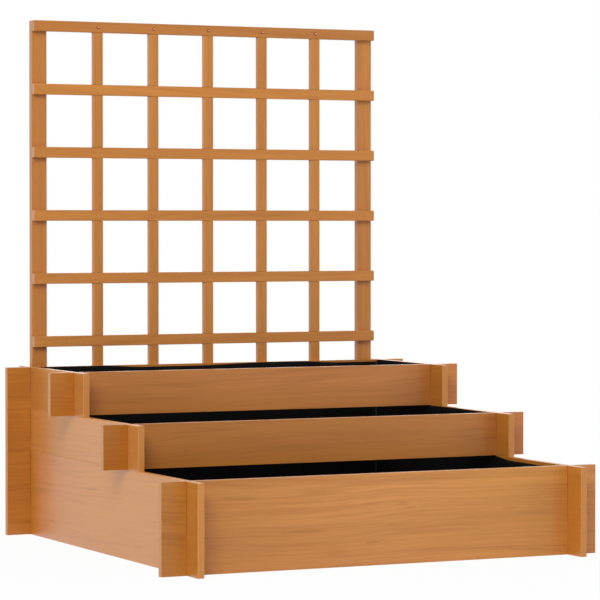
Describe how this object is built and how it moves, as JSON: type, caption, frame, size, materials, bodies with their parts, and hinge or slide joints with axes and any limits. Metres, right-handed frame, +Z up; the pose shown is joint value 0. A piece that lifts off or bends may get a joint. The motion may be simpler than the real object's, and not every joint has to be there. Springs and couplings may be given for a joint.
{
  "type": "planter with trellis",
  "caption": "Stepped three-tier wooden raised bed with cross-halved boards, a black fabric liner and a square-mesh trellis standing behind it for climbing plants.",
  "frame": {"origin": "centre of the footprint, on the ground", "axes": "+Z up, -Y is the front with the lowest tier, +X is the right-hand side seen from the front, the trellis stands at +Y"},
  "size_m": [0.95, 0.95, 1.098],
  "materials": {
    "board_wood": "smooth stained softwood, satin",
    "trellis_wood": "smooth stained softwood, satin",
    "liner_fabric": "black non-woven fabric, matt",
    "screw_steel": "zinc plated, dull"
  },
  "bodies": {
    "root": {"lower_front_board": "board_wood", "lower_back_board": "board_wood", "lower_left_board": "board_wood", "lower_right_board": "board_wood", "middle_front_board": "board_wood", "middle_back_board": "board_wood", "middle_left_board": "board_wood", "middle_right_board": "board_wood", "upper_front_board": "board_wood", "upper_back_board": "board_wood", "upper_left_board": "board_wood", "upper_right_board": "board_wood", "trellis_post_left": "trellis_wood", "trellis_post_right": "trellis_wood", "trellis_rail_1": "trellis_wood", "trellis_rail_2": "trellis_wood", "trellis_rail_3": "trellis_wood", "trellis_rail_4": "trellis_wood", "trellis_rail_5": "trellis_wood", "trellis_rail_6": "trellis_wood", "trellis_rail_7": "trellis_wood", "trellis_slat_1": "trellis_wood", "trellis_slat_2": "trellis_wood", "trellis_slat_3": "trellis_wood", "trellis_slat_4": "trellis_wood", "trellis_slat_5": "trellis_wood", "liner_floor": "liner_fabric", "liner_front": "liner_fabric", "liner_back": "liner_fabric", "liner_left": "liner_fabric", "liner_right": "liner_fabric", "rail_screw_1": "screw_steel", "rail_screw_2": "screw_steel", "rail_screw_3": "screw_steel", "rail_screw_4": "screw_steel", "rail_screw_5": "screw_steel", "post_screw_left_1": "screw_steel", "post_screw_left_2": "screw_steel", "post_screw_left_3": "screw_steel", "post_screw_left_4": "screw_steel", "post_screw_left_5": "screw_steel", "post_screw_left_6": "screw_steel", "post_screw_right_1": "screw_steel", "post_screw_right_2": "screw_steel", "post_screw_right_3": "screw_steel", "post_screw_right_4": "screw_steel", "post_screw_right_5": "screw_steel", "post_screw_right_6": "screw_steel", "mounting_screw_left": "screw_steel", "mounting_screw_right": "screw_steel"}
  },
  "joints": []
}
